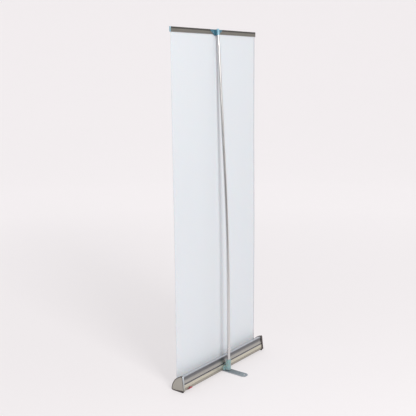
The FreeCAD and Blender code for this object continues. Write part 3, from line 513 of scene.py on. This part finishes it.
def braid(name):
    """Elastic cord: two crossed sets of strands, with pale flecks."""
    finish = Finish(name, roughness=0.75, sheen=0.3)
    first = finish.waves(380.0, "DIAGONAL")
    second = finish.waves(380.0, "DIAGONAL", stretch=(-1.0, 1.0, 1.0))
    weave = finish.maths("MAXIMUM", first, second)
    fleck = finish.noise(900.0, detail=2.0)
    finish.tint(weave, (0.01, 0.01, 0.011), (0.06, 0.06, 0.065))
    finish.tint(finish.span(fleck, 0.66, 0.7, 0.0, 0.8), None, (0.45, 0.45, 0.46))
    finish.relief(weave, 0.0003)
    return finish.material


def film(name):
    """Block-out film: matt white print face, cool grey-white back, very fine calender grain."""
    finish = Finish(name, roughness=0.5, subsurface=0.05)
    grain = finish.noise(1500.0, detail=3.0, stretch=(1.0, 1.0, 0.6))
    cloud = finish.noise(2.2, detail=3.0)
    rub = finish.noise(60.0, detail=5.0, stretch=(1.0, 1.0, 0.05))
    back, front = (0.66, 0.70, 0.735), (0.80, 0.80, 0.79)
    finish.tint(finish.facing("Y", -0.1, 0.1), front, back)
    finish.tint(finish.span(cloud, 0.35, 0.7, 0.0, 0.25), None, (0.63, 0.68, 0.725))
    finish.tint(finish.span(grain, 0.3, 0.8, 0.0, 0.06), None, (0.62, 0.64, 0.67))
    finish.tint(finish.span(rub, 0.66, 0.74, 0.0, 0.08), None, (0.66, 0.68, 0.70))
    finish.gloss(cloud, 0.42, 0.58)
    finish.relief(grain, 0.00004)
    return finish.material


# Base colours, linear
CHAMPAGNE = (0.42, 0.405, 0.365)
RAIL_GREY = (0.16, 0.153, 0.14)
CAP_BROWN = (0.060, 0.044, 0.040)
TEAL = (0.27, 0.395, 0.395)
CLIP_TEAL = (0.05, 0.16, 0.22)
LIGHT_BLUE = (0.22, 0.44, 0.56)
# painted light: the paler blue of the lit rail cap
LIT_COPY_BLUE = (0.36, 0.58, 0.68)
STEEL_BLUE = (0.19, 0.225, 0.25)
BLACK = (0.03, 0.031, 0.034)
RED = (0.42, 0.012, 0.035)
DEEP_RED = (0.16, 0.012, 0.022)


# nodes whose finish differs from their slot's. The rail caps get a lit and a shaded copy:
# rail_cap_right a paler blue as painted light, rail_cap_left dark as painted shade.
SPECIAL = {"rail_clip": "clip_teal", "rail_cap_right": "lit_copy_blue", "rail_cap_left": "painted_shade_rail_cap"}


def finish_everything():
    """Makes the finishes and gives each node the one of its material slot, or its special one."""
    finishes = {
        # the tones of the profile, rail, caps and foot paint light and shade into their colours
        "profile": extruded_metal("anodised_profile", CHAMPAGNE, 0.36, 0.05, tone_and_painted_light=profile_painted_light),
        "cover": extruded_metal("anodised_cover", shaded(CHAMPAGNE, 1.1), 0.42, 0.04),
        "rail": extruded_metal("anodised_rail", RAIL_GREY, 0.42, 0.08, metallic=0.75, tone_and_painted_light=rail_painted_light),
        "cap": moulded_plastic("moulded_cap", CAP_BROWN, 0.45, 0.00005, tone_and_painted_light=cap_painted_highlight),
        "clip_teal": moulded_plastic("moulded_clip", CLIP_TEAL, 0.33, 0.00002, translucent=0.1,
                                     edge=(0.3, 0.5, 0.58)),
        # rail_cap_right, painted paler as lit
        "lit_copy_blue": moulded_plastic("moulded_lit_copy_blue", LIT_COPY_BLUE, 0.3, 0.00002,
                                     translucent=0.3, edge=(0.8, 0.86, 0.9)),
        # rail_cap_left, painted dark as shade
        "painted_shade_rail_cap": moulded_plastic("moulded_painted_shade", (0.11, 0.105, 0.10), 0.4, 0.00003,
                                    edge=(0.4, 0.4, 0.4)),
        "black_plastic": moulded_plastic("moulded_black", BLACK, 0.5, 0.00004,
                                         edge=(0.3, 0.3, 0.3)),
        "teal": moulded_plastic("moulded_teal", TEAL, 0.33, 0.00002, translucent=0.25),
        "light_blue": moulded_plastic("moulded_light_blue", LIGHT_BLUE, 0.3, 0.00002,
                                      translucent=0.3, edge=(0.8, 0.86, 0.9)),
        "red": moulded_plastic("moulded_red", RED, 0.35, 0.00002,
                               translucent=0.1, edge=(0.6, 0.1, 0.13), tone_and_painted_light=tab_tone),
        "tube": drawn_tube("satin_tube", (0.70, 0.69, 0.68), 0.3),
        "steel": plated_steel("bright_steel", (0.62, 0.62, 0.62), 0.25),
        "screw": plated_steel("plated_screw", (0.60, 0.62, 0.62), 0.32),
        "foot_steel": powder_coat("coated_foot", STEEL_BLUE, foot_painted_light),
        "rubber": rubber("matt_rubber"),
        "felt": pile("wiper_pile"),
        "elastic": braid("elastic_braid"),
        "film": film("block_out_film"),
    }
    for entry in frame["record"]["subparts"]:
        mesh = NODES[entry["node"]].data
        mesh.materials.clear()
        mesh.materials.append(finishes[SPECIAL.get(entry["node"], entry["material_slot"])])
    return finishes


# ---------------------------------------------------------------- the film

def mesh_object(name, shape, material):
    mesh = bpy.data.meshes.new(name)
    bmesh.ops.recalc_face_normals(shape, faces=shape.faces)
    for face in shape.faces:
        face.smooth = True
    shape.to_mesh(mesh)
    shape.free()
    mesh.materials.append(material)
    obj = bpy.data.objects.new(name, mesh)
    bpy.context.scene.collection.objects.link(obj)
    return obj


FILM_GAUGE = 0.0003
FILM_CURL = 0.0009       # the long edges curl back a little
FILM_RIPPLE = 0.0004
TURN_START = 0.35        # the film leaves the slot's plane here, as a share of its height
TURN_END = 0.81          # and is in the clamp's plane from here up
WOUND_TURNS = 4


def film_y(across, up):
    """Y of the film. across runs from -1 to 1, up from 0 at its tail to 1 in the rail."""
    turn = min(max((up - TURN_START) / (TURN_END - TURN_START), 0.0), 1.0)
    clamped = turn * turn * (3 - 2 * turn)
    free = math.sin(math.pi * up) ** 2 * (1 - clamped)
    curl = FILM_CURL * free * abs(across) ** 8
    ripple = FILM_RIPPLE * free * math.sin(9.0 * across + 5.0 * up) * math.sin(11.0 * up)
    return SLOT_Y + (CLAMP_Y - SLOT_Y) * clamped + curl + ripple


def sheet_shape(columns, rows, spot):
    """Closed thin sheet: spot(u, v) gives its middle surface for u, v in 0 to 1 and its normal."""
    shape = bmesh.new()
    layers = []
    for side in (-0.5, 0.5):
        layer = []
        for j in range(rows + 1):
            line = []
            for i in range(columns + 1):
                centre, normal = spot(i / columns, j / rows)
                line.append(shape.verts.new(centre + normal * side * FILM_GAUGE))
            layer.append(line)
        layers.append(layer)
    for layer, flip in zip(layers, (False, True)):
        for j in range(rows):
            for i in range(columns):
                corners = [layer[j][i], layer[j][i + 1], layer[j + 1][i + 1], layer[j + 1][i]]
                shape.faces.new(corners[::-1] if flip else corners)
    rim = [(0, i) for i in range(columns)] + [(j, columns) for j in range(rows)]
    rim += [(rows, i) for i in range(columns, 0, -1)] + [(j, 0) for j in range(rows, 0, -1)]
    for (j, i), (l, k) in zip(rim, rim[1:] + rim[:1]):
        a, b = layers[0][j][i], layers[0][l][k]
        c, d = layers[1][l][k], layers[1][j][i]
        shape.faces.new((a, d, c, b))
    return shape


def add_graphic(material):
    """Stretched film between the top rail and the cassette."""
    width = PANEL_HIGH.x - PANEL_LOW.x
    low, high = PANEL_LOW.z, PANEL_HIGH.z
    length = high - low

    def spot(u, v):
        place = (PANEL_LOW.x + width * u, film_y(2 * u - 1, v), low + length * v)
        return Vector(place), Vector((0, 1, 0))

    sheet = mesh_object("graphic_film", sheet_shape(48, 120, spot), material)
    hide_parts("graphic_panel")
    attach(sheet, "rail")
    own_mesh(sheet)


def add_wound_film(material):
    """The turns of film still on the roller, as one spiral."""
    width = WOUND_HIGH.x - WOUND_LOW.x
    centre = (WOUND_LOW + WOUND_HIGH) / 2
    inner = (TUBE_HIGH.z - TUBE_LOW.z) / 2 + FILM_GAUGE
    outer = (WOUND_HIGH.z - WOUND_LOW.z) / 2 - FILM_GAUGE

    def spot(u, v):
        angle = math.tau * WOUND_TURNS * v
        radius = inner + (outer - inner) * v
        away = Vector((0, -math.cos(angle), math.sin(angle)))
        return Vector((WOUND_LOW.x + width * u, centre.y, centre.z)) + away * radius, away

    roll = mesh_object("wound_film", sheet_shape(6, 64 * WOUND_TURNS, spot), material)
    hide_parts("wound_graphic")
    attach(roll, "roller")


# ---------------------------------------------------------------- the scene

add_camera()
add_world(0.79)
add_light("key", 27.0, 28.0, 6.0, 1.9, 226.0, (1.0, 0.985, 0.97))
add_stage()
surfaces = finish_everything()
add_graphic(surfaces["film"])
add_wound_film(surfaces["film"])

scene = bpy.context.scene
scene.view_settings.view_transform = "Standard"
